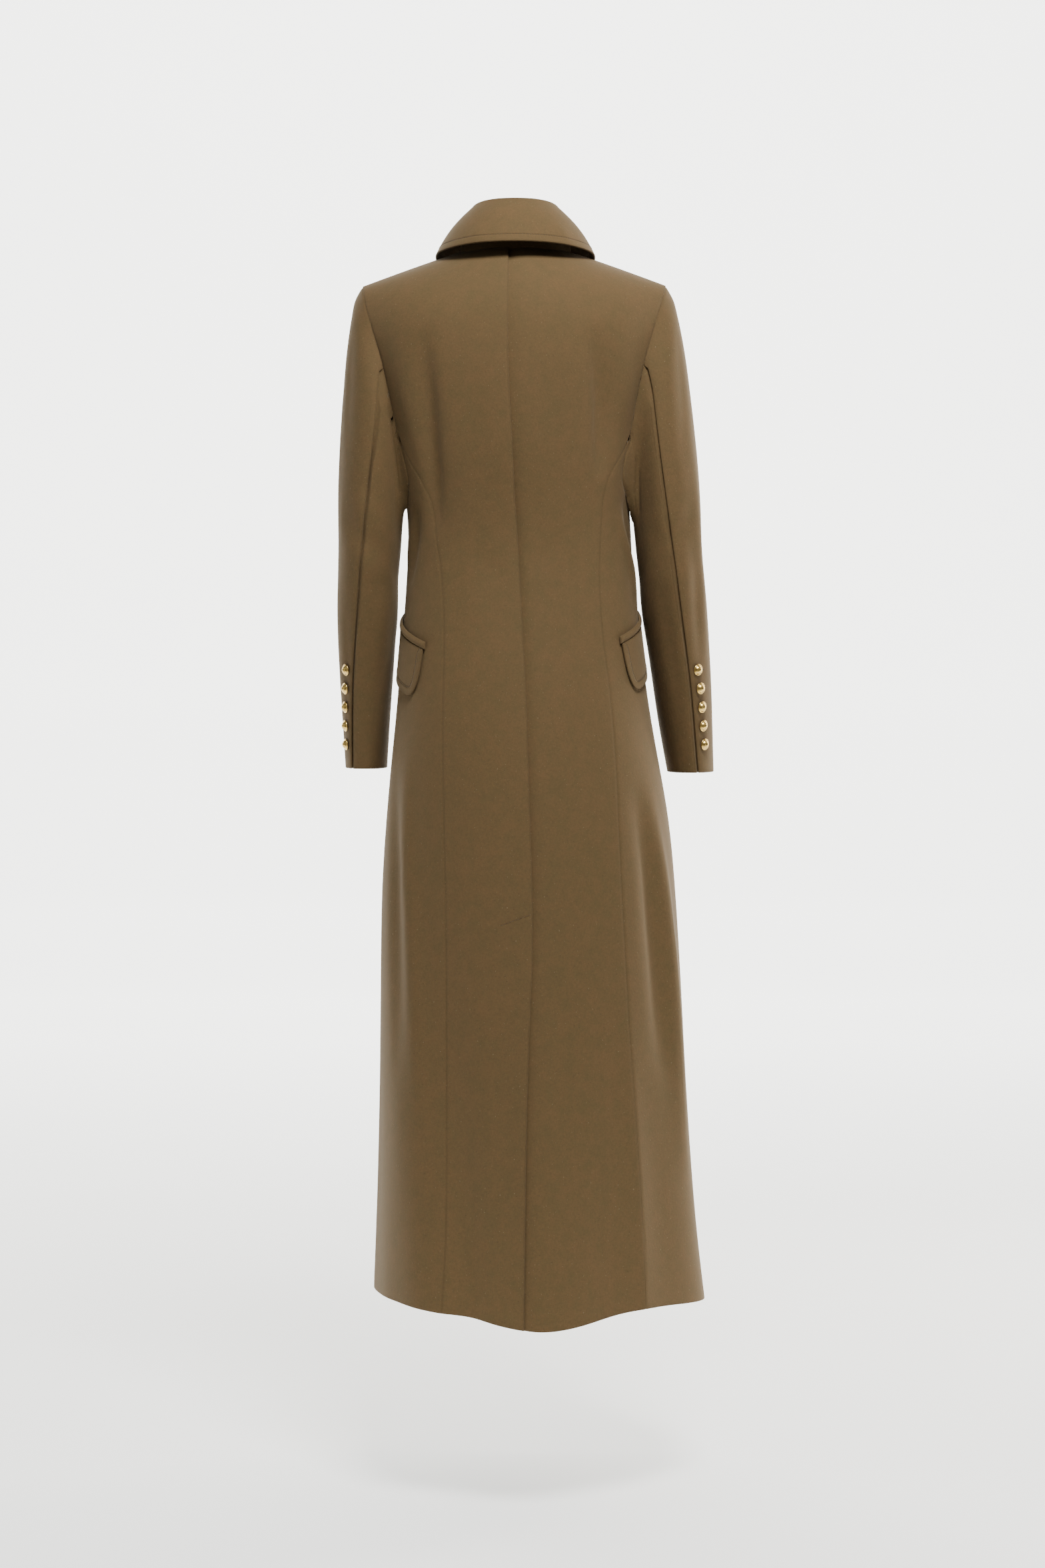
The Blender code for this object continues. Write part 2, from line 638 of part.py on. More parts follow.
def make_sleeve(side, loop):
    count = len(loop)

    def entry(place):
        i = int(place // 1) % count
        j = (i + 1) % count
        t = place - place // 1
        first, second = loop[i], loop[j]
        turn = second[2] + (2 * pi if j == 0 else 0)
        return (first[0].lerp(second[0], t), first[1].lerp(second[1], t).normalized(),
                blend(first[2], turn, t) + 2 * pi * (place // count))

    back_place, front_place = BACK_SEAM_ROW, count - FRONT_SEAM_ROW
    back_start, front_start = entry(back_place)[2], entry(front_place)[2]

    def point(place, row):
        rim, _, start = entry(place)
        i = min(int(row), len(SLEEVE_ROWS) - 2)
        share = blend(SLEEVE_ROWS[i], SLEEVE_ROWS[i + 1], row - i)
        z = blend(rim.z, CUFF_Z[side], share)
        drop = rim.z - z
        settle = smooth(drop / SEAM_SETTLE)
        far = front_start if start > back_start else front_start - 2 * pi
        near_back = (1 + cos(pi * (start - back_start) / (far - back_start))) / 2
        turn = near_back * (seam_angle(side, z) - back_start)
        turn += (1 - near_back) * (FRONT_SLEEVE_SEAM - front_start)
        angle = start + settle * turn
        from_top = min(start % (2 * pi), 2 * pi - start % (2 * pi))
        reach = HEAD_EASE_TOP + HEAD_EASE_SIDE * sin(from_top / 2)
        share = sin(pi / 2 * min(drop / reach, 1))
        tube = sleeve_ring(side, angle, z)
        return Vector((blend(rim.x, tube.x, share), blend(rim.y, tube.y, share), z))

    table = SLEEVE_LEFT if side == "left" else SLEEVE_RIGHT

    def centre(p):
        middle = (column(table, 1, p.z) + column(table, 2, p.z)) / 2
        return Vector((SIGN[side] * middle, column(table, 3, p.z), p.z))

    rows = list(range(len(SLEEVE_ROWS)))
    tops = [front_place - count + SEAM_PART] + list(range(front_place - count + 1, back_place))
    tops += [back_place - VENT_LAP, back_place - VENT_LAP / 2, back_place - SEAM_PART]
    unders = [back_place + SEAM_PART, back_place + DIP_PLACE] + list(range(back_place + 1, front_place))
    unders += [front_place - SEAM_PART]

    def spread(places_at):
        """Points and wall directions, with places that may change from row to row."""
        first = places_at(None, 0)
        grid, normals = surface(lambda s, r: point(places_at(s, r), r), range(len(first)), rows, centre)
        normals[0] = [clear_of(n, entry(p)[1]) for n, p in zip(normals[0], first)]
        return grid, normals

    def placed(row_places):
        def at(s, row):
            places = row_places(row)
            if s is None:
                return places
            i = min(max(int(s), 0), len(places) - 2)
            return blend(places[i], places[i + 1], s - i)
        return at

    wall("sleeve_top_" + side, *spread(placed(lambda row: tops)))

    def under_places(row):
        z = point(back_place, row).z
        lap = blend(SEAM_LAP, VENT_LAP, smooth((VENT_TOP_Z - z) / VENT_RAMP))
        return [back_place - lap, back_place - lap / 2] + unders

    sunk = -(WALL + LAP_GAP)
    grid, normals = spread(placed(under_places))
    wall("sleeve_under_" + side, grid, normals, lift=lambda r, c: sunk if c < 3 else 0)
    return point, back_place, tops


def clear_of(normal, away):
    """A wall direction that doesn't lean back over the panels it starts from."""
    return (normal - away * max(normal.dot(away), 0)).normalized()


def collar_row(angle, radius, z):
    return Vector((radius * sin(angle), radius * cos(angle), z))


def neck_point(angle):
    """A point on the neck edge of the panels, by angle from the centre back."""
    x = NECK_HALF * sin(angle)
    face = 1 if cos(angle) > 0 else -1
    y = (NECK_BACK if face > 0 else NECK_FRONT) * cos(angle)
    return Vector((x, y, top_z(round(abs(x), 8), face)))


def make_collar():
    angles = [radians(COLLAR_END) * (2 * i / COLLAR_STEPS - 1) for i in range(COLLAR_STEPS + 1)]

    def measures(angle):
        return [column(COLLAR, i, abs(angle) * 180 / pi) for i in range(1, 5)]

    def stand(angle, row):
        i = min(int(row), len(STAND_ROWS) - 2)
        share = blend(STAND_ROWS[i], STAND_ROWS[i + 1], row - i)
        radius, z = measures(angle)[:2]
        foot = neck_point(angle)
        foot = foot + Vector((0, 0, STAND_RISE))
        head = collar_row(angle, radius, z)
        bow = STAND_BOW * sin(pi * share)
        out = Vector((sin(angle), cos(angle), 0))
        return foot.lerp(head, share) + out * bow

    rows = list(range(len(STAND_ROWS)))
    points, normals = surface(stand, angles, rows, body_centre)
    wall("collar_stand", points, normals)

    def fall(angle, row):
        radius, z, edge, edge_z = measures(angle)
        out = Vector((sin(angle), cos(angle), 0))
        if row <= ROLL_STEPS:
            turn = blend(ROLL_START, ROLL_END, row / ROLL_STEPS)
            middle = collar_row(angle, radius + WALL * 0.6, z + SEAM_GAP * 2)
            return middle + (out * cos(turn) + Vector((0, 0, 1)) * sin(turn)) * COLLAR_ROLL
        past = row - ROLL_STEPS
        i = min(int(past), len(FALL_ROWS) - 2)
        share = blend(FALL_ROWS[i], FALL_ROWS[i + 1], past - i)
        bow = (out * FALL_BOW[0] + Vector((0, 0, FALL_BOW[1]))) * sin(pi * share)
        return fall(angle, ROLL_STEPS).lerp(collar_row(angle, edge, edge_z), share) + bow

    rows = list(range(ROLL_STEPS + len(FALL_ROWS)))
    points, normals = surface(fall, angles, rows, body_centre)
    wall("collar_fall", points, normals)


def make_pocket(side):
    rear_x, rear_z = POCKETS[side]
    sign = SIGN[side]
    start = angle_at(sign * rear_x, rear_z, 1)

    def spot(along, z):
        """A point on the body, by distance forward from the pocket's rear end."""
        angle, gone, step = start, 0, SPOT_STEP
        last = body(angle, z)
        while gone < along:
            after = body(angle - sign * step, z)
            way = (after - last).length
            if gone + way > along:
                return body(angle - sign * step * (along - gone) / way, z)
            gone, last, angle = gone + way, after, angle - sign * step
        if along < 0:
            return body(angle + sign * step * -along / (body(angle + sign * step, z) - last).length, z)
        return last

    def line_z(along):
        return rear_z + FLAP_SLOPE * along

    def flap(across, down):
        i = min(int(down), len(FLAP_ROWS) - 2)
        share = blend(FLAP_ROWS[i], FLAP_ROWS[i + 1], down - i)
        rear = FLAP_LEAN * share + FLAP_CORNER * (1 - sqrt(max(1 - share ** 4, 0)))
        fore = FLAP_CORNER * 0.6 * (1 - sqrt(max(1 - share ** 4, 0)))
        along = blend(rear, FLAP_LENGTH - fore, across / FLAP_STEPS)
        return spot(along, line_z(along) - FLAP_HEIGHT * share)

    rows = list(range(len(FLAP_ROWS)))
    points, normals = surface(flap, list(range(FLAP_STEPS + 1)), rows, body_centre)
    wall("pocket_flap_" + side, points, normals, lift=lambda r, c: LIE_GAP + WALL)

    def welt(across, up):
        along = blend(-WELT_OVERRUN, FLAP_LENGTH + WELT_OVERRUN, across / WELT_STEPS)
        return spot(along, line_z(along) + SEAM_GAP * 2 + WELT_HEIGHT * (1 - up / (len(WELT_SWELL) - 1)))

    rows = list(range(len(WELT_SWELL)))
    points, normals = surface(welt, list(range(WELT_STEPS + 1)), rows, body_centre)
    high, low = [], []
    for r in rows:
        high.append([p + n * (LIE_GAP + WELT_THICK * WELT_SWELL[r]) for p, n in zip(points[r], normals[r])])
        low.append([p + n * LIE_GAP for p, n in zip(points[r], normals[r])])
    solid_between("pocket_welt_" + side, high, low)


def make_button(name, seat, out, radius, high):
    """A domed button with a rolled rim, its back held just off the cloth."""
    profile = ((0.90, 0.0), (1.0, 0.14), (0.94, 0.38), (0.74, 0.70), (0.40, 0.93))
    side = out.orthogonal().normalized()
    other = out.cross(side)
    base = seat + out * (LIE_GAP + SEAM_GAP / 2)
    verts = []
    for share, rise in profile:
        for k in range(BUTTON_SIDES):
            turn = 2 * pi * k / BUTTON_SIDES
            verts.append(base + (side * cos(turn) + other * sin(turn)) * radius * share + out * high * rise)
    verts += [base, base + out * high]
    faces = []
    for i in range(len(profile) - 1):
        for k in range(BUTTON_SIDES):
            a, b = i * BUTTON_SIDES + k, i * BUTTON_SIDES + (k + 1) % BUTTON_SIDES
            faces.append((a, b, b + BUTTON_SIDES, a + BUTTON_SIDES))
    floor, peak = len(verts) - 2, len(verts) - 1
    ring = (len(profile) - 1) * BUTTON_SIDES
    for k in range(BUTTON_SIDES):
        after = (k + 1) % BUTTON_SIDES
        faces += [(floor, after, k), (peak, ring + k, ring + after)]
    closed_mesh(name, verts, faces, BRASS, round_angle=35)


def facet(point, stations, place, row):
    """A place on the top sleeve's flat facets, and the way out from them."""
    i = max(n for n in range(len(stations) - 1) if stations[n] <= place)
    level = int(row)
    share = (place - stations[i]) / (stations[i + 1] - stations[i])
    columns = [[point(stations[n], r) for r in (level, level + 1)] for n in (i, i + 1)]
    first, second = (upper.lerp(lower, row - level) for upper, lower in columns)
    along = (columns[0][1] - columns[0][0]).lerp(columns[1][1] - columns[1][0], share)
    return first.lerp(second, share), (second - first).cross(along).normalized()


def make_cuff_buttons(side, point, back_place, stations):
    """A row of buttons on the top sleeve, beside the vent."""
    last = len(SLEEVE_ROWS) - 1
    for number, z in enumerate(CUFF_BUTTON_Z, 1):
        low, high = 0, last
        for _ in range(30):
            row = (low + high) / 2
            if point(back_place, row).z > z:
                low = row
            else:
                high = row
        edge = point(back_place, row)
        place = back_place
        while (point(place, row) - edge).length < CUFF_BUTTON_INSET:
            place -= PLACE_STEP
        seat, out = facet(point, stations, place, row)
        if out.x * SIGN[side] < 0:
            out = -out
        make_button(f"cuff_button_{side}_{number}", seat, out, CUFF_BUTTON_R, CUFF_BUTTON_HIGH)


def make_front_buttons():
    """Two rows of buttons on the upper front panel."""
    for side in ("left", "right"):
        x = SIGN[side] * FRONT_BUTTON_X
        for number, z in enumerate(FRONT_BUTTON_Z, 1):
            angle = angle_at(x, z, -1)
            seat = body(angle, z)
            across = body(angle + ANGLE_STEP, z) - body(angle - ANGLE_STEP, z)
            below, above = z - HEIGHT_STEP, z + HEIGHT_STEP
            along = body(angle_at(x, below, -1), below) - body(angle_at(x, above, -1), above)
            out = across.cross(along).normalized()
            if out.y > 0:
                out = -out
            make_button(f"front_button_{side}_{number}", seat, out, FRONT_BUTTON_R, FRONT_BUTTON_HIGH)


def main():
    clear_scene()
    for side in ("left", "right"):
        back = make_back(side)
        panel = make_side(side)
        front = make_front(side)
        sleeve = make_sleeve(side, armhole(side, back, panel, front))
        make_cuff_buttons(side, *sleeve)
        make_pocket(side)
    make_collar()
    make_front_buttons()


main()
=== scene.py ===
"""Looks of a military greatcoat: napped wool panels with their creases and sewing, and domed brass buttons.

The coat hangs as worn, its back to the camera. Metres; +Z is up, +Y is the back and +X the wearer's left.
"""
import math
from collections import namedtuple

import bmesh
import bpy
import numpy as np
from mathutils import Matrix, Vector
from mathutils.bvhtree import BVHTree
from mathutils.kdtree import KDTree


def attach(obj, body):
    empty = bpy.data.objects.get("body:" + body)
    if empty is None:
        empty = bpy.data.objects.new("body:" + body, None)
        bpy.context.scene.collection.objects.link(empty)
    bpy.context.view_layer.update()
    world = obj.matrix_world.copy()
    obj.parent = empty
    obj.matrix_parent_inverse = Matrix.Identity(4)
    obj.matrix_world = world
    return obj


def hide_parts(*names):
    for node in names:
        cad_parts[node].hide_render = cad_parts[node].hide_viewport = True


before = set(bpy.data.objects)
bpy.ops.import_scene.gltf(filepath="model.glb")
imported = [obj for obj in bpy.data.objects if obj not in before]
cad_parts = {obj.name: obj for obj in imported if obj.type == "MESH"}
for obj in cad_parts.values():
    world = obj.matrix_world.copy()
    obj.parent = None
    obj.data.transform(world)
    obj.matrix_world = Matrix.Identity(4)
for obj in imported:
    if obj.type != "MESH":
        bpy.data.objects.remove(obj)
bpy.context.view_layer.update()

SIDES = ("left", "right")

# Cloth: how its cut edges are rounded, and how far from a middle line each part of the coat lies
EDGE_ANGLE = math.radians(50)
EDGE_ROUND = 0.0008
SMOOTH_ANGLE = math.radians(40)
GIRTH = {"body": 0.170, "sleeve": 0.050, "collar": 0.100}
SLICE = 0.03
SAME_POINT = 1e-6
RIM_STEP = 0.003
# How flat and how square two triangles are when they are joined to a quad
JOIN_FLAT = math.radians(38)
JOIN_SQUARE = math.radians(70)
# Halvings of each face: more on the small pieces, whose faces are few
LEVELS = 2
SMALL_LEVELS = 3
SMALL_PIECES = ("collar", "pocket")

# Flat cut of each panel: width, length and area, in metres and square metres
CUTS = {
    "back_left": (0.215, 1.345, 0.177),
    "back_right": (0.245, 1.345, 0.228),
    "side_left": (0.400, 1.105, 0.316),
    "side_right": (0.415, 1.110, 0.322),
    "front_left": (0.270, 1.345, 0.295),
    "front_right": (0.270, 1.345, 0.306),
    "collar_stand": (0.395, 0.062, 0.0226),
    "collar_fall": (0.560, 0.100, 0.0442),
    "sleeve_top_left": (0.200, 0.620, 0.093),
    "sleeve_top_right": (0.205, 0.625, 0.100),
    "sleeve_under_left": (0.185, 0.540, 0.070),
    "sleeve_under_right": (0.190, 0.545, 0.072),
    "pocket_flap_left": (0.170, 0.072, 0.0116),
    "pocket_flap_right": (0.170, 0.072, 0.0117),
    "pocket_welt_left": (0.172, 0.013, 0.0022),
    "pocket_welt_right": (0.172, 0.013, 0.0022),
}

# Creases: a path of (degrees round the part, height), half its width, and how far it stands out.
# Troughs are below nought. Degrees run from the wearer's left over the back.
Crease = namedtuple("Crease", "path width depth")
CREASE_FADE = 0.8
BODY_CREASES = (
    # Soft troughs and ridges of the upper back, beside the armholes
    Crease([(43, -0.110), (43, -0.205), (41, -0.290), (36, -0.370)], 0.015, -0.0110),
    Crease([(30, -0.130), (31, -0.205), (35, -0.280)], 0.012, 0.0028),
    Crease([(132, -0.110), (138, -0.200), (142, -0.300)], 0.015, -0.0120),
    Crease([(149, -0.140), (153, -0.235)], 0.012, 0.0028),
    Crease([(70, -0.160), (66, -0.260), (64, -0.330)], 0.024, -0.0016),
    Crease([(112, -0.150), (116, -0.250), (114, -0.340)], 0.026, -0.0018),
    # Drag lines towards the small of the back
    Crease([(60, -0.395), (84, -0.425)], 0.014, -0.0014),
    Crease([(122, -0.380), (98, -0.415)], 0.013, -0.0013),
    Crease([(56, -0.455), (76, -0.470)], 0.016, 0.0010),
    # Folds at the waist, under the arms
    Crease([(157, -0.345), (171, -0.415), (173, -0.480)], 0.010, 0.0046),
    Crease([(161, -0.320), (180, -0.420)], 0.010, -0.0046),
    Crease([(24, -0.330), (14, -0.435)], 0.012, -0.0046),
    Crease([(16, -0.345), (6, -0.410)], 0.010, 0.0022),
    # Long skirt folds
    Crease([(31, -0.640), (37, -0.760), (43, -0.850), (49, -1.000), (53, -1.110)], 0.012, 0.0056),
    Crease([(18, -0.650), (29, -0.790), (36, -0.950), (39, -1.060)], 0.014, -0.0052),
    Crease([(153, -0.690), (157, -0.790), (158.5, -0.900), (158, -1.060), (158, -1.180)], 0.013, 0.0085),
    Crease([(146, -0.680), (149, -0.790), (150, -0.900), (150, -1.050)], 0.015, -0.0100),
    Crease([(70, -0.880), (72, -1.080), (70, -1.280)], 0.022, 0.0016),
    Crease([(112, -0.900), (110, -1.100), (113, -1.290)], 0.024, -0.0018),
    Crease([(132, -0.980), (133, -1.160), (131, -1.300)], 0.018, 0.0018),
    # The same on the sides and the front, which the photograph hides
    Crease([(348, -0.640), (344, -0.800), (346, -0.980)], 0.014, 0.0034),
    Crease([(333, -0.700), (330, -0.900), (334, -1.120)], 0.017, -0.0036),
    Crease([(193, -0.660), (197, -0.830), (195, -1.010)], 0.015, 0.0036),
    Crease([(209, -0.720), (213, -0.960), (210, -1.150)], 0.017, -0.0034),
    Crease([(308, -0.760), (304, -0.980), (307, -1.200)], 0.018, 0.0028),
    Crease([(236, -0.740), (239, -0.950), (235, -1.180)], 0.018, 0.0026),
    Crease([(316, -0.130), (318, -0.210), (325, -0.290)], 0.015, -0.0034),
    Crease([(226, -0.130), (222, -0.215), (214, -0.290)], 0.015, -0.0036),
    Crease([(330, -0.355), (345, -0.425)], 0.011, -0.0026),
    Crease([(209, -0.350), (196, -0.420)], 0.011, -0.0028),
    Crease([(322, -0.375), (336, -0.440)], 0.010, 0.0020),
)
SLEEVE_CREASES = {
    "left": (
        Crease([(70, -0.100), (64, -0.180), (60, -0.270)], 0.010, -0.0022),
        Crease([(95, -0.170), (100, -0.260), (96, -0.330)], 0.011, 0.0020),
        Crease([(40, -0.330), (80, -0.372), (118, -0.392)], 0.010, -0.0026),
        Crease([(50, -0.375), (92, -0.412), (126, -0.420)], 0.009, 0.0020),
        Crease([(62, -0.300), (100, -0.322)], 0.009, -0.0018),
        Crease([(60, -0.440), (64, -0.520), (58, -0.600)], 0.010, -0.0018),
        Crease([(118, -0.440), (112, -0.540)], 0.011, 0.0020),
        Crease([(20, -0.180), (10, -0.300), (6, -0.430)], 0.012, 0.0018),
        Crease([(250, -0.350), (290, -0.392), (330, -0.402)], 0.010, -0.0032),
        Crease([(240, -0.408), (280, -0.440), (322, -0.432)], 0.009, -0.0026),
        Crease([(262, -0.372), (300, -0.415)], 0.008, 0.0020),
    ),
    "right": (
        Crease([(112, -0.100), (117, -0.190), (119, -0.290)], 0.010, -0.0024),
        Crease([(84, -0.190), (84, -0.290), (87, -0.390)], 0.011, 0.0026),
        Crease([(136, -0.330), (104, -0.366), (66, -0.384)], 0.010, -0.0024),
        Crease([(132, -0.398), (96, -0.425), (60, -0.428)], 0.010, 0.0018),
        Crease([(120, -0.360), (122, -0.460), (118, -0.560)], 0.010, -0.0026),
        Crease([(140, -0.240), (144, -0.380), (142, -0.520)], 0.011, 0.0024),
        Crease([(78, -0.440), (80, -0.520), (86, -0.600)], 0.010, -0.0020),
        Crease([(290, -0.352), (250, -0.390), (214, -0.400)], 0.010, -0.0032),
        Crease([(300, -0.412), (262, -0.444), (222, -0.430)], 0.009, -0.0026),
        Crease([(276, -0.376), (238, -0.418)], 0.008, 0.0020),
    ),
}
COLLAR_CREASES = (
    Crease([(62, 0.020), (56, -0.002)], 0.012, 0.0010),
    Crease([(128, 0.024), (134, -0.004)], 0.012, 0.0012),
)

# Sewing: how far apart sewn rims may lie and still be drawn together, and the share of the gap that each
# one crosses. A seam's two shares pass the middle, so that no light shows through, and the meshes cross.
SEAM_ZONE = 0.0030
LAP_DRAW = (0.0007, 0.46)
SEAM_DRAW = (0.0030, 0.62)
ARMHOLE_DRAW = (0.0055, 1.0)
# The collar's stand is let down inside the neck edge: how far, and over what distance from that edge
STAND_DROP = 0.0065
STAND_NEAR, STAND_FAR = 0.005, 0.016
TOPSTITCH_IN = 0.010
# Where topstitching runs: the fall's outer rim, the left front's edge, and a flap's rim away from its welt
FALL_RIM_OUT = 0.082
FRONT_EDGE_X, FRONT_EDGE_TOP = -0.030, -0.060
WELT_CLEAR = 0.0085
OUTER_FACING = 0.1
LINE_REACH = 4
STITCH_PITCH = 0.0036
STITCH_LONG = 0.0028
STITCH_THICK = 0.00060
STITCH_SUNK = 0.00008
# The slanting row that holds the top of the back vent, as x and z on the left back
VENT_TACK = ((0.0164, -0.8520), (-0.0215, -0.8380))
HOLE_LONG = 0.0155
HOLE_PITCH = 0.00065
HOLE_STITCH = 0.0021

# Buttons: rings of the turned dome, as shares of the radius and of the height
BUTTON_RINGS = (
    (0.90, 0.00), (1.00, 0.10), (1.00, 0.24), (0.93, 0.34), (0.84, 0.36), (0.80, 0.30),
    (0.76, 0.38), (0.66, 0.60), (0.52, 0.78), (0.47, 0.79), (0.43, 0.76), (0.39, 0.82),
    (0.24, 0.94), (0.10, 1.00),
)
BUTTON_SIDES = 40

# The photograph's frame, and the camera that gives its view of the coat
PHOTO_WIDE, PHOTO_HIGH = 1568, 2353
SENSOR = 36.0
LENS_PIXELS = 4931
HORIZON_PIXEL, UPRIGHT_PIXEL = 970, 818
CAMERA_AT = Vector((-0.038, 4.2, -0.51))
FLOOR_Z = -1.566
# Where the floor turns dark in front, out of the picture, and where it turns to bright wall behind the coat
FLOOR_DARKENS = (0.7, 1.3)
WALL_BRIGHTENS = (2.0, 6.0)


def eased(share):
    """A share from nought to one, with a soft start and end."""
    return share * share * (3 - 2 * share)


class Value:
    """A shader socket that takes part in arithmetic."""

    def __init__(self, finish, socket):
        self.finish = finish
        self.socket = socket

    def math(self, operation, first, second):
        return self.finish.node("ShaderNodeMath", {"operation": operation}, {0: first, 1: second})

    def __add__(self, other):
        return self.math("ADD", self, other)

    def __radd__(self, other):
        return self.math("ADD", other, self)

    def __sub__(self, other):
        return self.math("SUBTRACT", self, other)

    def __rsub__(self, other):
        return self.math("SUBTRACT", other, self)

    def __mul__(self, other):
        return self.math("MULTIPLY", self, other)

    def __rmul__(self, other):
        return self.math("MULTIPLY", other, self)

    def __truediv__(self, other):
        return self.math("DIVIDE", self, other)

    def __abs__(self):
        return self.math("ABSOLUTE", self, 0)


class Finish:
    """One material, with the nodes that it is made of."""

    def __init__(self, name, **constants):
        self.material = bpy.data.materials.new(name)
        self.material.use_nodes = True
        self.tree = self.material.node_tree
        self.tree.nodes.clear()
        self.shader = self.tree.nodes.new("ShaderNodeBsdfPrincipled")
        output = self.tree.nodes.new("ShaderNodeOutputMaterial")
        self.tree.links.new(self.shader.outputs["BSDF"], output.inputs["Surface"])
        for socket, value in constants.items():
            self.shader.inputs[socket.replace("_", " ")].default_value = value

    def feed(self, socket, value):
        if isinstance(value, Value):
            self.tree.links.new(value.socket, socket)
        else:
            socket.default_value = value

    def node(self, kind, settings=None, inputs=None, output=0):
        """Adds a node. Its settings come first, then the values or links of its sockets."""
        made = self.tree.nodes.new(kind)
        for name, value in (settings or {}).items():
            if name == "stops":
                for index, (place, color) in enumerate(value):
                    ramp = made.color_ramp.elements
                    stop = ramp[index] if index < len(ramp) else ramp.new(place)
                    stop.position = place
                    stop.color = color
            else:
                setattr(made, name, value)
        for name, value in (inputs or {}).items():
            self.feed(made.inputs[name], value)
        return Value(self, made.outputs[output])

    def surface(self, **changing):
        """Links what changes over the surface to the shader's own sockets."""
        for socket, value in changing.items():
            self.feed(self.shader.inputs[socket.replace("_", " ")], value)
        return self.material


def noise(finish, place, scale, detail=2.0, roughness=0.5):
    """Noise about 0.5, at so many lumps a metre."""
    return finish.node("ShaderNodeTexNoise", {"noise_dimensions": "3D"},
                       {"Vector": place, "Scale": scale, "Detail": detail, "Roughness": roughness})


def stretched(finish, place, across, along):
    """The same place, squeezed so that a noise runs long one way."""
    return finish.node("ShaderNodeMapping", {"vector_type": "POINT"},
                       {"Vector": place, "Scale": (across, along, 1.0)})


def mixed(finish, share, first, second):
    """One colour turning into another."""
    made = finish.tree.nodes.new("ShaderNodeMix")
    made.data_type = "RGBA"
    for socket, value in ((made.inputs[0], share), (made.inputs[6], first), (made.inputs[7], second)):
        finish.feed(socket, value)
    return Value(finish, made.outputs[2])


def held_in(finish, value, low, high):
    """The share of the way from low to high, held between nought and one."""
    return finish.node("ShaderNodeMapRange", {"clamp": True},
                       {"Value": value, "From Min": low, "From Max": high})


OLIVE = (0.104, 0.072, 0.031, 1)
BROWN = (0.130, 0.078, 0.035, 1)
SHADE = (0.070, 0.046, 0.020, 1)
PALE_FIBRE = (0.300, 0.235, 0.140, 1)
DARK_FIBRE = (0.045, 0.029, 0.014, 1)


def wool_finish():
    """Milled wool: a short nap over a fine twill, in olive and brown fibres."""
    finish = Finish("napped_wool", Sheen_Weight=0.10, Sheen_Roughness=0.45,
                    Sheen_Tint=(1.0, 0.82, 0.58, 1), Specular_IOR_Level=0.14)
    place = finish.node("ShaderNodeTexCoord", output=3)
    cloth = finish.node("ShaderNodeUVMap", {"uv_map": "cloth"})
    sewn = finish.node("ShaderNodeAttribute", {"attribute_name": "stitch_gap"}, output=2)
    seam = finish.node("ShaderNodeAttribute", {"attribute_name": "edge_gap"}, output=2)

    clouds = noise(finish, place, 7.0, 3.0, 0.6)
    mottle = noise(finish, place, 62.0, 3.0, 0.6)
    milled = noise(finish, place, 330.0, 3.0, 0.6)
    lengthways = noise(finish, stretched(finish, cloth, 1500.0, 210.0), 1.0, 2.0, 0.6)
    crossways = noise(finish, stretched(finish, cloth, 240.0, 1600.0), 1.0, 2.0, 0.6)
    pale = held_in(finish, noise(finish, stretched(finish, cloth, 560.0, 320.0), 1.0, 1.0), 0.715, 0.780)
    dark = held_in(finish, noise(finish, stretched(finish, cloth, 300.0, 520.0), 1.3, 1.0), 0.700, 0.770)

    tint = held_in(finish, clouds * 0.3 + mottle * 0.7, 0.30, 0.70)
    color = mixed(finish, tint, OLIVE, BROWN)
    grain = held_in(finish, milled * 0.4 + lengthways * 0.3 + crossways * 0.3, 0.34, 0.66)
    color = mixed(finish, (1 - grain) * 0.55, color, SHADE)
    color = mixed(finish, pale * 0.30, color, PALE_FIBRE)
    color = mixed(finish, dark * 0.45, color, DARK_FIBRE)
    # Painted shade: the wool darkens towards each panel's sewn rim, within 2.8 mm, where a seam's groove
    # would lie in shadow
    seam_shade_fade = held_in(finish, seam, 0.0, 0.0028)
    color = mixed(finish, (1 - seam_shade_fade) * 0.55, color, SHADE)

    groove = held_in(finish, abs(sewn - TOPSTITCH_IN), 0.0, 0.0016)
    pressed = held_in(finish, seam, 0.0, 0.0035)
    weave = milled * 0.30 + lengthways * 0.22 + crossways * 0.22 + mottle * 0.45
    height = weave + groove * 1.6 + pressed * 0.9
    bump = finish.node("ShaderNodeBump", {}, {"Strength": 0.55, "Distance": 0.0007, "Height": height})
    return finish.surface(Base_Color=color, Roughness=0.80 + grain * 0.14, Normal=bump)


def thread_finish():
    """Twisted sewing thread, a little darker than the wool."""
    finish = Finish("wool_thread", Sheen_Weight=0.15, Specular_IOR_Level=0.3)
    place = finish.node("ShaderNodeTexCoord", output=3)
    twist = noise(finish, place, 1400.0, 1.0)
    color = mixed(finish, twist, (0.060, 0.040, 0.018, 1), (0.110, 0.075, 0.036, 1))
    bump = finish.node("ShaderNodeBump", {}, {"Strength": 0.5, "Distance": 0.0002, "Height": twist})
    return finish.surface(Base_Color=color, Roughness=0.62 + twist * 0.2, Normal=bump)


def brass_finish():
    """Polished brass, faintly brushed and dulled."""
    finish = Finish("button_brass", Metallic=1.0)
    place = finish.node("ShaderNodeTexCoord", output=3)
    tarnish = noise(finish, place, 420.0, 3.0, 0.6)
    scuffs = noise(finish, place, 2600.0, 2.0)
    color = mixed(finish, held_in(finish, tarnish, 0.35, 0.70), (0.80, 0.57, 0.19, 1), (0.50, 0.32, 0.09, 1))
    bump = finish.node("ShaderNodeBump", {}, {"Strength": 0.25, "Distance": 0.0001, "Height": scuffs})
    return finish.surface(Base_Color=color, Roughness=0.20 + tarnish * 0.22, Normal=bump)


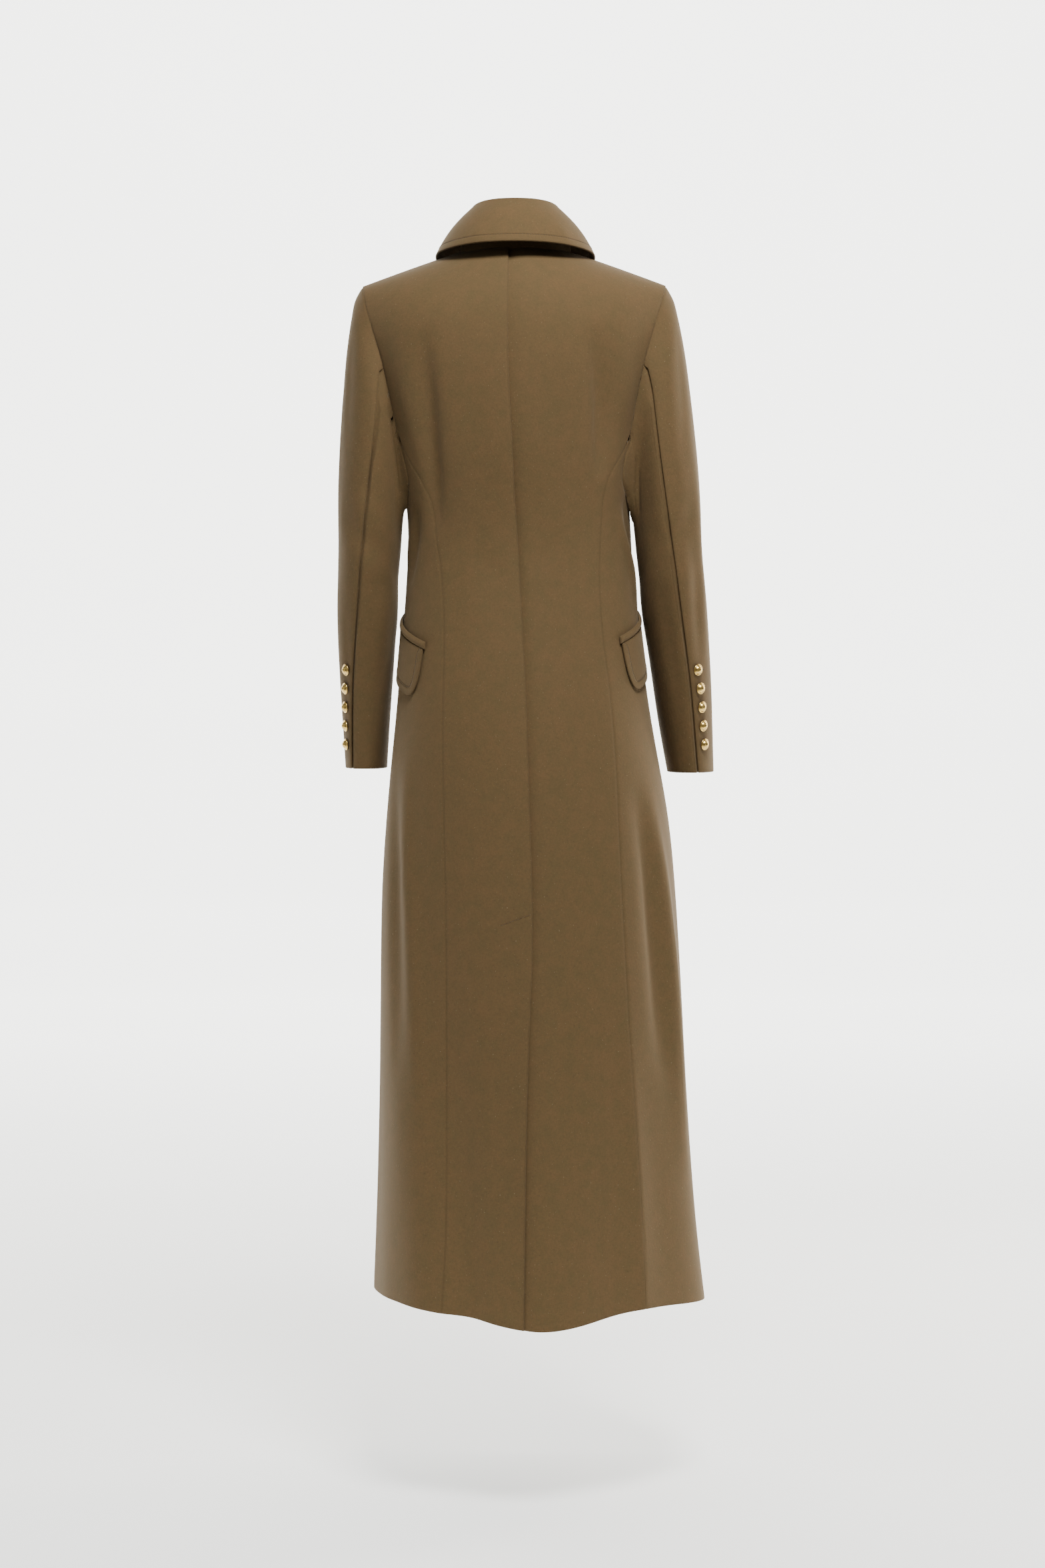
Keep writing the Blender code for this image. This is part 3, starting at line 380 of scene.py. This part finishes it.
def floor_finish():
    """Plain pale studio floor, lit a little from within as a light wall is."""
    finish = Finish("pale_floor", Specular_IOR_Level=0.2, Emission_Strength=1.0)
    place = finish.node("ShaderNodeTexCoord", output=3)
    depth = finish.node("ShaderNodeSeparateXYZ", {}, {"Vector": place}, output=1)
    unseen = held_in(finish, depth, *FLOOR_DARKENS)
    behind = held_in(finish, depth * -1, *WALL_BRIGHTENS)
    speck = noise(finish, place, 3.0, 3.0)
    color = mixed(finish, speck, (0.80, 0.80, 0.78, 1), (0.84, 0.84, 0.82, 1))
    glow = mixed(finish, behind, (0.95, 0.96, 0.93, 1), (2.5, 2.5, 2.42, 1))
    return finish.surface(Base_Color=mixed(finish, unseen, color, (0.16, 0.15, 0.14, 1)),
                          Emission_Color=mixed(finish, unseen, glow, (0.0, 0.0, 0.0, 1)),
                          Roughness=0.85 + speck * 0.1)


WOOL = wool_finish()
THREAD = thread_finish()
BRASS = brass_finish()


# Where a part of the coat lies round its own middle line

def sleeve_line(side):
    """Heights and middles of one sleeve, from its two packed panels."""
    points = np.concatenate([corners(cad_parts[f"{n}_{side}"].data)
                             for n in ("sleeve_top", "sleeve_under")])
    levels = np.arange(points[:, 2].min() + SLICE, points[:, 2].max() - SLICE / 2, SLICE)
    middles = []
    for level in levels:
        ring = points[np.abs(points[:, 2] - level) < SLICE]
        middles.append((ring.min(0) + ring.max(0)) / 2)
    return levels, np.array(middles)


def corners(mesh):
    """The vertices of a mesh, as rows of x, y and z."""
    found = np.zeros(len(mesh.vertices) * 3)
    mesh.vertices.foreach_get("co", found)
    return found.reshape(-1, 3)


SLEEVE_LINES = {side: sleeve_line(side) for side in SIDES}


def part_of(name):
    """Which part of the coat a node belongs to, and on which side."""
    side = next((s for s in SIDES if s in name), None)
    if name.startswith(("sleeve", "cuff")):
        return "sleeve", side
    return ("collar", None) if name.startswith("collar") else ("body", None)


def outwards(name, points):
    """The way out from the part's middle line at each point, and the degrees round it."""
    part, side = part_of(name)
    middle = np.zeros((len(points), 2))
    if part == "sleeve":
        levels, middles = SLEEVE_LINES[side]
        for axis in (0, 1):
            middle[:, axis] = np.interp(points[:, 2], levels, middles[:, axis])
    away = points[:, :2] - middle
    reach = np.maximum(np.hypot(away[:, 0], away[:, 1]), 1e-6)
    ways = np.zeros_like(points)
    ways[:, :2] = away / reach[:, None]
    return ways, np.degrees(np.arctan2(away[:, 1], away[:, 0]))


def turned(degrees):
    """A turn brought to between half a turn back and half a turn on."""
    return (degrees + 180) % 360 - 180


def crease_push(crease, degrees, heights, girth):
    """How far one crease moves each point: full in the middle of its path, and nought at its ends."""
    spans = [(math.radians(turned(b[0] - a[0])) * girth, b[1] - a[1])
             for a, b in zip(crease.path, crease.path[1:])]
    lengths = [math.hypot(*span) for span in spans]
    gone, most = 0.0, np.zeros(len(degrees))
    for start, span, length in zip(crease.path, spans, lengths):
        across = np.radians(turned(degrees - start[0])) * girth
        down = heights - start[1]
        share = np.clip((across * span[0] + down * span[1]) / length ** 2, 0, 1)
        off = np.hypot(across - share * span[0], down - share * span[1])
        along = (gone + share * length) / sum(lengths)
        fade = np.sin(math.pi * along) ** CREASE_FADE
        most = np.maximum(most, np.exp(-(off / crease.width) ** 2) * fade)
        gone += length
    return most * crease.depth


def creases_of(name):
    part, side = part_of(name)
    return {"body": BODY_CREASES, "collar": COLLAR_CREASES}.get(part) or SLEEVE_CREASES[side]


def creased(name, points):
    """The points, moved by the creases of the part of the coat they are on."""
    ways, degrees = outwards(name, points)
    girth = GIRTH[part_of(name)[0]]
    push = np.zeros(len(points))
    for crease in creases_of(name):
        push += crease_push(crease, degrees, points[:, 2], girth)
    return points + ways * push[:, None]


# Cloth

def select_only(piece):
    bpy.ops.object.select_all(action="DESELECT")
    piece.select_set(True)
    bpy.context.view_layer.objects.active = piece


def new_piece(name, mesh):
    piece = bpy.data.objects.new(name, mesh)
    bpy.context.scene.collection.objects.link(piece)
    return piece


def rim_points(mesh):
    """Points along the sharp edges of a panel's wall, as a tree to look up."""
    found = []
    for edge in mesh.edges:
        if len(edge.link_faces) == 2 and edge.calc_face_angle() > EDGE_ANGLE:
            start, end = (v.co for v in edge.verts)
            count = max(1, round((end - start).length / RIM_STEP))
            found += [start.lerp(end, i / count) for i in range(count + 1)]
    return found


def gaps_to(points, rim):
    """Each point's distance from the nearest point of a rim."""
    tree = KDTree(len(rim))
    for index, point in enumerate(rim):
        tree.insert(point, index)
    tree.balance()
    return np.array([tree.find(point)[2] for point in points])


def is_free_edge(name, point):
    """Whether a point of the rim is on the edge that topstitching follows."""
    if name == "collar_fall":
        return math.hypot(point.x, point.y) > FALL_RIM_OUT
    if name == "front_left":
        return point.x < FRONT_EDGE_X and point.z < FRONT_EDGE_TOP
    if name.startswith("pocket_flap"):
        return WELT_TREES[part_of_side(name)].find_nearest(point)[3] > WELT_CLEAR
    return False


def part_of_side(name):
    return next(s for s in SIDES if name.endswith(s))


def tree_of(mesh):
    return BVHTree.FromPolygons([v.co for v in mesh.vertices], [p.vertices for p in mesh.polygons])


WELT_TREES = {side: tree_of(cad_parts["pocket_welt_" + side].data) for side in SIDES}


def write_attribute(mesh, name, values):
    mesh.attributes.new(name, "FLOAT", "POINT").data.foreach_set("value", values.astype(np.float32))


def across_part(name, degrees):
    """How far each point lies round the part from the middle of its panel, in metres."""
    turns = np.radians(degrees)
    middle = math.degrees(math.atan2(np.sin(turns).mean(), np.cos(turns).mean()))
    return np.radians(turned(degrees - middle)) * GIRTH[part_of(name)[0]]


def write_cloth_map(mesh, name):
    """The panel's own map, in metres: round the part and down it."""
    points = corners(mesh)
    _, degrees = outwards(name, points)
    across = across_part(name, degrees)
    layer = mesh.uv_layers.new(name="cloth")
    at = np.zeros(len(mesh.loops), np.int32)
    mesh.loops.foreach_get("vertex_index", at)
    layer.data.foreach_set("uv", np.stack([across[at], points[at, 2]], axis=1).ravel())


def finer_shell(name):
    """A packed panel's wall, with rounded edges and a finer, smoother surface."""
    shell = bmesh.new()
    shell.from_mesh(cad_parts[name].data)
    bmesh.ops.remove_doubles(shell, verts=shell.verts, dist=SAME_POINT)
    rim = rim_points(shell)
    bmesh.ops.join_triangles(shell, faces=shell.faces, angle_face_threshold=JOIN_FLAT,
                             angle_shape_threshold=JOIN_SQUARE)
    mesh = bpy.data.meshes.new(name + "_cloth")
    shell.to_mesh(mesh)
    shell.free()
    piece = new_piece(name + "_cloth", mesh)
    select_only(piece)
    edge = piece.modifiers.new("rounded edge", "BEVEL")
    edge.limit_method = "ANGLE"
    edge.angle_limit = EDGE_ANGLE
    edge.width = EDGE_ROUND
    edge.segments = 2
    bpy.ops.object.modifier_apply(modifier=edge.name)
    finer = piece.modifiers.new("finer cloth", "SUBSURF")
    finer.levels = finer.render_levels = SMALL_LEVELS if name.startswith(SMALL_PIECES) else LEVELS
    bpy.ops.object.modifier_apply(modifier=finer.name)
    points = corners(mesh)
    write_attribute(mesh, "edge_gap", gaps_to(points, rim))
    free = [p for p in rim if is_free_edge(name, p)]
    write_attribute(mesh, "stitch_gap", gaps_to(points, free) if free else np.ones(len(points)))
    return piece


def read_attribute(mesh, name):
    values = np.zeros(len(mesh.vertices))
    mesh.attributes[name].data.foreach_get("value", values)
    return values


def drawn_together(name, trees):
    """The panel's points, its sewn rims drawn over the gap to the panels beside it."""
    mesh = PANELS[name].data
    points, gaps = corners(mesh), read_attribute(mesh, "edge_gap")
    others = [(tree, draw_between(name, other)) for other, tree in trees.items() if other != name]
    for index in np.nonzero(gaps < SEAM_ZONE)[0]:
        here = Vector(points[index])
        found = [(tree.find_nearest(here, reach), share) for tree, (reach, share) in others]
        found = [(near, share) for near, share in found if near[0] is not None]
        if found:
            near, share = min(found, key=lambda hit: hit[0][3])
            whole = min((SEAM_ZONE - gaps[index]) / (SEAM_ZONE - EDGE_ROUND), 1)
            points[index] += np.array(near[0] - here) * share * whole
    return points


def draw_between(name, other):
    """How far a panel's rim reaches for another panel, and the share of the gap that it crosses."""
    this, that = name.split("_")[0], other.split("_")[0]
    if this == that or "collar" in (this, that) or that == "sleeve":
        return LAP_DRAW
    return ARMHOLE_DRAW if this == "sleeve" else SEAM_DRAW


def let_down(points, trees):
    """The stand's points, the lower ones let down inside the coat's neck edge."""
    body = [tree for name, tree in trees.items() if name.startswith(("back", "front"))]
    moved = points.copy()
    for index, point in enumerate(points):
        away = min(tree.find_nearest(Vector(point))[3] for tree in body)
        share = min(max((STAND_FAR - away) / (STAND_FAR - STAND_NEAR), 0), 1)
        moved[index, 2] -= STAND_DROP * eased(share)
    return moved


def finish_cloth(name, points):
    """Creases, maps and finishes one panel, hangs it on the coat's root, and hides its packed part."""
    piece = PANELS[name]
    mesh = piece.data
    mesh.vertices.foreach_set("co", points.ravel())
    write_cloth_map(mesh, name)
    mesh.vertices.foreach_set("co", creased(name, points).ravel())
    mesh.update()
    select_only(piece)
    bpy.ops.object.shade_smooth_by_angle(angle=SMOOTH_ANGLE)
    mesh.materials.clear()
    mesh.materials.append(WOOL)
    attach(piece, "root")
    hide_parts(name)


def closed_up(name, trees):
    """A panel's points as it is sewn in: the pocket pieces lie on the coat as they are."""
    if name == "collar_stand":
        return let_down(corners(PANELS[name].data), trees)
    return drawn_together(name, trees) if name in trees else corners(PANELS[name].data)


PANELS = {name: finer_shell(name) for name in CUTS}
sewn_trees = {name: tree_of(PANELS[name].data) for name in CUTS if not name.startswith("pocket")}
sewn_in = {name: closed_up(name, sewn_trees) for name in CUTS}
for name, points in sewn_in.items():
    finish_cloth(name, points)


# Buttons

def turned_button():
    """A plain domed button, a metre in radius and height, on its flat back at the origin."""
    bpy.ops.object.select_all(action="DESELECT")
    first_reach, first_rise = BUTTON_RINGS[0]
    bpy.ops.mesh.primitive_circle_add(vertices=BUTTON_SIDES, radius=first_reach, fill_type="NGON",
                                      location=(0, 0, 0))
    button = bpy.context.object
    bpy.ops.object.mode_set(mode="EDIT")
    bpy.ops.mesh.select_all(action="SELECT")
    reach, rise = first_reach, first_rise
    for next_reach, next_rise in BUTTON_RINGS[1:]:
        bpy.ops.mesh.extrude_region_move(TRANSFORM_OT_translate={"value": (0, 0, next_rise - rise)})
        bpy.ops.transform.resize(value=(next_reach / reach, next_reach / reach, 1),
                                 center_override=(0, 0, next_rise))
        reach, rise = next_reach, next_rise
    bpy.ops.mesh.select_all(action="SELECT")
    bpy.ops.mesh.normals_make_consistent(inside=False)
    bpy.ops.object.mode_set(mode="OBJECT")
    softer = button.modifiers.new("softer rings", "SUBSURF")
    softer.levels = softer.render_levels = 1
    bpy.ops.object.modifier_apply(modifier=softer.name)
    return button


def button_seat(name):
    """Middle of a packed button's flat back, the way its dome faces, its radius and its height."""
    points = corners(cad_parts[name].data)
    middle = points.mean(0)
    ways = np.linalg.svd(np.unique(points.round(6), axis=0) - middle)[2]
    out = ways[2]
    facing, _ = outwards(name, middle[None])
    if facing[0] @ out < 0:
        out = -out
    rises = (points - middle) @ out
    back = middle + out * rises.min()
    across = (points - back) - ((points - back) @ out)[:, None] * out
    return Vector(back), Vector(out), float(np.linalg.norm(across, axis=1).max()), float(np.ptp(rises))


def button(name, pattern):
    """One brass button in a packed button's place, moved out or in with the cloth under it."""
    back, out, radius, height = button_seat(name)
    moved = Vector(creased(name, np.array([back]))[0])
    mesh = pattern.data.copy()
    turn = out.to_track_quat("Z", "Y").to_matrix()
    for vertex in mesh.vertices:
        x, y, z = vertex.co
        vertex.co = moved + turn @ Vector((x * radius, y * radius, z * height))
    piece = new_piece(name + "_dome", mesh)
    select_only(piece)
    bpy.ops.object.shade_smooth_by_angle(angle=SMOOTH_ANGLE)
    mesh.materials.append(BRASS)
    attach(piece, "root")
    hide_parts(name)
    return piece


pattern = turned_button()
BUTTONS = {name: button(name, pattern) for name in sorted(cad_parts) if "button" in name}
bpy.data.objects.remove(pattern)


# Stitches

def one_stitch():
    """A short, plump stitch, a metre long and thick, lying along X at the origin."""
    bpy.ops.object.select_all(action="DESELECT")
    bpy.ops.mesh.primitive_uv_sphere_add(segments=6, ring_count=4, radius=0.5, location=(0, 0, 0))
    stitch = bpy.context.object
    bpy.ops.object.mode_set(mode="EDIT")
    bpy.ops.mesh.select_all(action="SELECT")
    bpy.ops.transform.rotate(value=math.pi / 2, orient_axis="Y", center_override=(0, 0, 0))
    bpy.ops.object.mode_set(mode="OBJECT")
    shape = corners(stitch.data), [tuple(face.vertices) for face in stitch.data.polygons]
    bpy.data.objects.remove(stitch)
    return shape


def sewn_row(name, places, long):
    """Stitches joined into one piece. Each place is a point, the way along and the way out."""
    shape, faces = one_stitch()
    rows, all_faces = [], []
    for point, along, out in places:
        along = (along - out * along.dot(out)).normalized()
        across = out.cross(along)
        turn = np.array([along * long, across * STITCH_THICK, out * STITCH_THICK])
        all_faces += [tuple(v + len(rows) * len(shape) for v in face) for face in faces]
        rows.append(shape @ turn + np.array(point + out * (STITCH_THICK / 2 - STITCH_SUNK)))
    mesh = bpy.data.meshes.new(name)
    mesh.from_pydata(np.concatenate(rows), [], all_faces)
    piece = new_piece(name, mesh)
    select_only(piece)
    bpy.ops.object.shade_smooth()
    mesh.materials.append(THREAD)
    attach(piece, "root")
    return piece


def stitch_line(name):
    """Points of a panel's outer face that lie the topstitching's distance in from its free edge."""
    mesh = PANELS[name].data
    points, gaps = corners(mesh), read_attribute(mesh, "stitch_gap")
    ways, _ = outwards(name, points)
    ends = np.zeros(len(mesh.edges) * 2, np.int32)
    mesh.edges.foreach_get("vertices", ends)
    ends = ends.reshape(-1, 2)
    normals = np.zeros(len(mesh.vertices) * 3)
    mesh.vertex_normals.foreach_get("vector", normals)
    outer = (normals.reshape(-1, 3) * ways).sum(1) > OUTER_FACING
    first, second = gaps[ends[:, 0]], gaps[ends[:, 1]]
    crossed = ((first - TOPSTITCH_IN) * (second - TOPSTITCH_IN) < 0) & outer[ends].all(1)
    share = ((TOPSTITCH_IN - first) / (second - first))[crossed, None]
    return points[ends[crossed, 0]] * (1 - share) + points[ends[crossed, 1]] * share


def in_order(name, points):
    """The line's points in sewing order: down a front edge, or round a collar or flap."""
    _, degrees = outwards(name, points)
    if name.startswith("front"):
        keys = -points[:, 2]
    elif name.startswith("collar"):
        keys = turned(degrees - 90)
    else:
        keys = np.arctan2(across_part(name, degrees), points[:, 2].max() - points[:, 2])
    return points[np.argsort(keys)]


def even_places(tree, points, pitch):
    """Places a pitch apart along a line of points, laid on the cloth."""
    line = [Vector(p) for p in points]
    places, due, gone = [], pitch / 2, 0.0
    for start, end in zip(line, line[1:]):
        span = (end - start).length
        while span > 0 and due <= gone + span:
            point, out, _, _ = tree.find_nearest(start.lerp(end, (due - gone) / span))
            places.append((point, out))
            due += pitch
        gone += span
    spots = []
    for index, (point, out) in enumerate(places):
        before, after = places[max(index - 1, 0)][0], places[min(index + 1, len(places) - 1)][0]
        spots.append((point, (after - before).normalized(), out))
    return spots


def evened(points):
    """The line with each point brought to the middle of its neighbours."""
    return np.array([points[max(i - LINE_REACH, 0):i + LINE_REACH + 1].mean(0) for i in range(len(points))])


def topstitching(name):
    tree = tree_of(PANELS[name].data)
    line = evened(in_order(name, stitch_line(name)))
    return sewn_row(name + "_topstitch", even_places(tree, line, STITCH_PITCH), STITCH_LONG)


def vent_tack():
    """The slanting row at the top of the back vent."""
    tree = tree_of(PANELS["back_left"].data)
    ends = [tree.ray_cast(Vector((x, 1, z)), Vector((0, -1, 0)))[0] for x, z in VENT_TACK]
    return sewn_row("vent_tack", even_places(tree, ends, STITCH_PITCH), STITCH_LONG)


def buttonhole(button_name, panel_name, way):
    """A worked buttonhole that runs out from under a button, whipped across all along."""
    tree = tree_of(PANELS[panel_name].data)
    back, out, _, _ = button_seat(button_name)
    start = Vector(creased(button_name, np.array([back]))[0])
    along = (way - out * way.dot(out)).normalized()
    spots = even_places(tree, [start, start + along * HOLE_LONG], HOLE_PITCH)
    return [(point, normal.cross(run), normal) for point, run, normal in spots]


def buttonholes():
    for side in SIDES:
        places = []
        for name in (n for n in BUTTONS if n.startswith("cuff_button_" + side)):
            _, out, _, _ = button_seat(name)
            way = out.cross(Vector((0, 0, 1)))
            if way.y > 0:
                way = -way
            places += buttonhole(name, "sleeve_top_" + side, way)
        sewn_row("cuff_buttonholes_" + side, places, HOLE_STITCH)
    places = []
    for name in (n for n in BUTTONS if n.startswith("front_button_right")):
        places += buttonhole(name, "front_left", Vector((-1, 0, 0)))
    sewn_row("front_buttonholes", places, HOLE_STITCH)


for name in ("collar_fall", "front_left", "pocket_flap_left", "pocket_flap_right"):
    topstitching(name)
vent_tack()
buttonholes()


# Floor, light and camera

def studio_floor():
    """A pale floor that curves up into a backdrop behind the coat."""
    profile = [(8.0, 0.0), (-4.6, 0.0), (-5.2, 0.08), (-5.7, 0.32), (-6.05, 0.75), (-6.2, 1.4), (-6.2, 8.0)]
    half = 10.0
    points = [(side * half, y, FLOOR_Z + z) for y, z in profile for side in (-1, 1)]
    faces = [(i, i + 1, i + 3, i + 2) for i in range(0, len(points) - 2, 2)]
    mesh = bpy.data.meshes.new("studio_floor")
    mesh.from_pydata(points, [], faces)
    floor = new_piece("studio_floor", mesh)
    select_only(floor)
    softer = floor.modifiers.new("softer curve", "SUBSURF")
    softer.levels = softer.render_levels = 2
    softer.subdivision_type = "SIMPLE"
    bpy.ops.object.shade_smooth()
    mesh.materials.append(floor_finish())


def soft_light(name, at, towards, size, power, color=(1, 1, 1)):
    lamp = bpy.data.lights.new(name, "AREA")
    lamp.shape = "RECTANGLE"
    lamp.size, lamp.size_y = size
    lamp.energy = power
    lamp.color = color
    light = bpy.data.objects.new(name, lamp)
    bpy.context.scene.collection.objects.link(light)
    light.location = at
    light.rotation_euler = (Vector(towards) - Vector(at)).to_track_quat("-Z", "Y").to_euler()


def studio_light():
    """A high soft key on the wearer's right, a weak fill, and strips that catch the edges from behind."""
    soft_light("key_light", (-0.45, 1.7, 1.75), (0, 0, -0.30), (1.0, 0.8), 133)
    soft_light("fill_light", (2.6, 1.8, 0.2), (0, 0, -0.6), (1.8, 2.4), 8)
    soft_light("right_edge_light", (-2.1, -1.3, 0.0), (-0.1, 0, -0.7), (0.6, 2.8), 60, (1.0, 0.90, 0.78))
    soft_light("left_edge_light", (1.6, -2.0, 0.0), (0.1, 0, -0.7), (0.8, 2.8), 10, (1.0, 0.93, 0.84))
    soft_light("backdrop_light", (0.0, -2.6, 3.2), (0, -6.2, 0.0), (6.0, 1.2), 420)
    world = bpy.data.worlds.new("studio")
    bpy.context.scene.world = world
    world.use_nodes = True
    background = world.node_tree.nodes["Background"]
    background.inputs["Color"].default_value = (0.95, 0.96, 0.94, 1)
    background.inputs["Strength"].default_value = 0.16


def photo_camera():
    """Level, and aimed along -Y, with the photograph's vanishing point off the middle of its frame."""
    lens = bpy.data.cameras.new("photo_camera")
    lens.sensor_fit = "VERTICAL"
    lens.sensor_height = SENSOR
    lens.lens = SENSOR * LENS_PIXELS / PHOTO_HIGH
    lens.shift_x = (PHOTO_WIDE / 2 - UPRIGHT_PIXEL) / PHOTO_HIGH
    lens.shift_y = (HORIZON_PIXEL - PHOTO_HIGH / 2) / PHOTO_HIGH
    camera = bpy.data.objects.new("photo_camera", lens)
    bpy.context.scene.collection.objects.link(camera)
    camera.location = CAMERA_AT
    camera.rotation_euler = (math.pi / 2, 0, math.pi)
    bpy.context.scene.camera = camera


studio_floor()
studio_light()
photo_camera()
